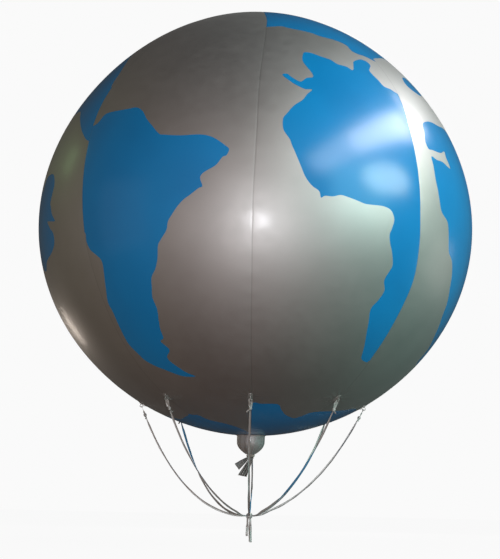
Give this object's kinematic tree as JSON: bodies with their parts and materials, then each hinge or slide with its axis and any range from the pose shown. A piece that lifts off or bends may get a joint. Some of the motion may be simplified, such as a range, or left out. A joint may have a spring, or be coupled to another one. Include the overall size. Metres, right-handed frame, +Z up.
{
  "type": "inflatable globe balloon",
  "caption": "Inflated globe of curved film gores with a tied-off filling neck below and a slack ribbon bridle hanging from tabs on its seams to one knot.",
  "frame": {"origin": "middle of the inflated envelope, level with its widest circle", "axes": "+Z up along the axis through the neck, the crown and the bridle knot; -Y towards the front seam; +X to the right seen from the front"},
  "size_m": [2.5, 2.5, 3.0579],
  "materials": {
    "envelope_film": "silver-grey pearl film, satin gloss",
    "land_film": "blue printed film, satin gloss",
    "neck_film": "silver-grey film, gathered",
    "tab_film": "clear and silver welded film",
    "tie_cord": "wound thin cord",
    "ribbon": "narrow strips of the silver and blue film"
  },
  "bodies": {
    "root": {"envelope_gore_1": "envelope_film", "envelope_gore_2": "envelope_film", "envelope_gore_3": "envelope_film", "envelope_gore_4": "envelope_film", "envelope_gore_5": "envelope_film", "envelope_gore_6": "envelope_film", "envelope_gore_7": "envelope_film", "envelope_gore_8": "envelope_film", "crown_patch": "envelope_film", "neck_bulb": "neck_film", "neck_tie": "tie_cord", "sleeve_flap_left": "neck_film", "sleeve_flap_right": "neck_film", "rope_tab_front": "tab_film", "rope_tab_front_right": "tab_film", "rope_tab_right": "tab_film", "rope_tab_back_right": "tab_film", "rope_tab_back": "tab_film", "rope_tab_back_left": "tab_film", "rope_tab_left": "tab_film", "rope_tab_front_left": "tab_film", "rope_loop_front": "ribbon", "rope_loop_front_right": "ribbon", "rope_loop_right": "ribbon", "rope_loop_back_right": "ribbon", "rope_loop_back": "ribbon", "rope_loop_back_left": "ribbon", "rope_loop_left": "ribbon", "rope_loop_front_left": "ribbon", "rope_front": "ribbon", "rope_front_right": "ribbon", "rope_right": "ribbon", "rope_back_right": "ribbon", "rope_back": "ribbon", "rope_back_left": "ribbon", "rope_left": "ribbon", "rope_front_left": "ribbon", "bridle_knot": "ribbon", "knot_tail_left": "ribbon", "knot_tail_front": "ribbon", "knot_tail_back": "ribbon"}
  },
  "joints": []
}
